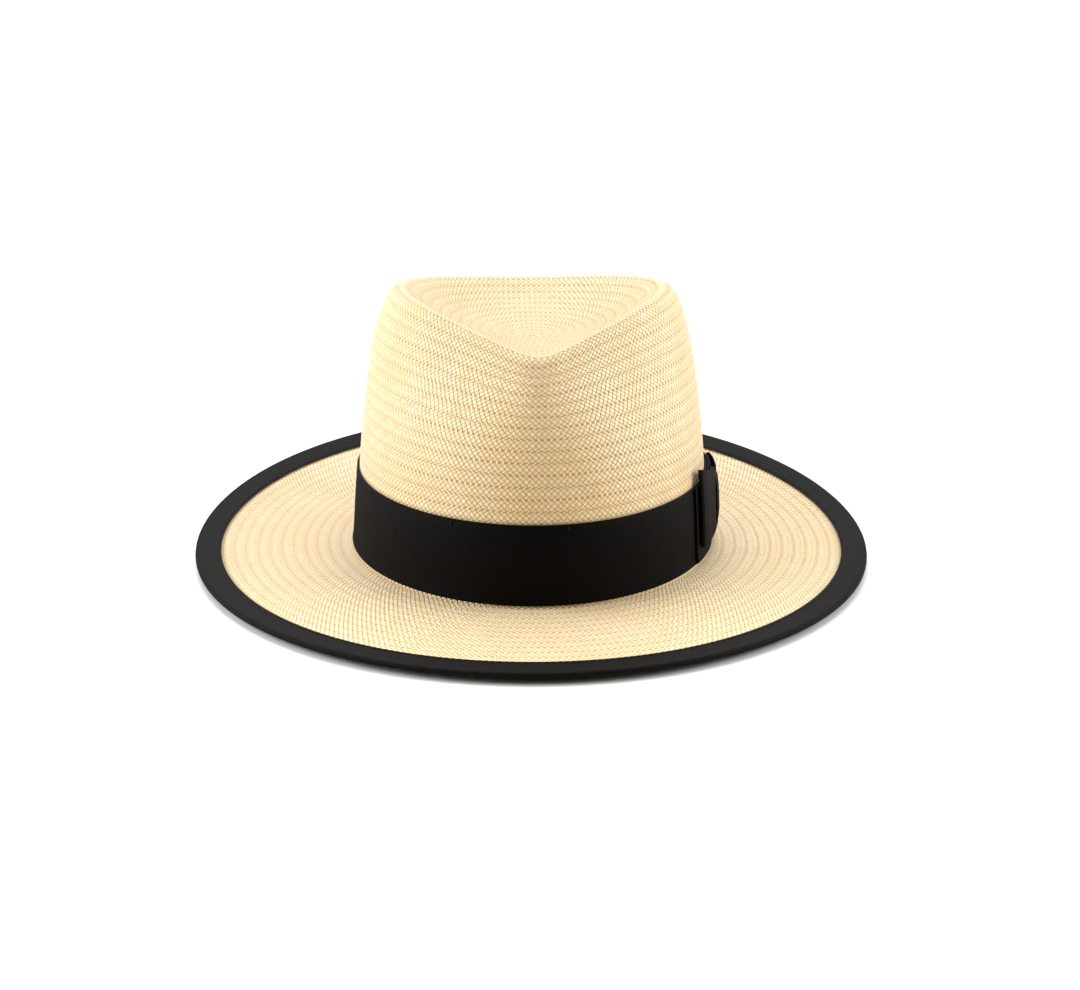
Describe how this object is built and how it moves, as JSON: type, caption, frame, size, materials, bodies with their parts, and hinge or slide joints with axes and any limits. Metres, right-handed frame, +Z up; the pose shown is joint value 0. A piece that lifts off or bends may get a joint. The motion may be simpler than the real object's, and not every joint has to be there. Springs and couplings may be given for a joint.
{
  "type": "panama hat",
  "caption": "Wide-brimmed woven straw hat with a teardrop crown, a black ribbon band with a flat side bow, a bound brim edge and a leather sweatband.",
  "frame": {"origin": "centre of the hat's outline in plan, on the surface it stands on", "axes": "-Y is the front of the hat, +X is the wearer's left, where the bow is, and +Z is up"},
  "size_m": [0.3314, 0.3717, 0.1296],
  "materials": {
    "toquilla_straw": "fine woven straw, satin",
    "binding_ribbon": "ribbed grosgrain, matt",
    "band_ribbon": "ribbed grosgrain, matt",
    "black_thread": "spun thread",
    "natural_thread": "spun thread",
    "sweatband_leather": "smooth sheepskin, satin",
    "reed_cover": "smooth",
    "satin_ribbon": "satin",
    "tab_paper": "uncoated"
  },
  "bodies": {
    "root": {"straw_body": "toquilla_straw", "brim_binding": "binding_ribbon", "binding_stitching_top": "black_thread", "binding_stitching_under": "black_thread", "hat_band": "band_ribbon", "band_tack_stitches": "black_thread", "bow_base_tab": "band_ribbon", "bow_front_loop": "band_ribbon", "bow_rear_loop": "band_ribbon", "bow_knot": "band_ribbon", "sweatband": "sweatband_leather", "sweatband_reed": "reed_cover", "sweatband_stitching": "natural_thread", "sweatband_back_bow": "satin_ribbon", "size_tab": "tab_paper"}
  },
  "joints": []
}
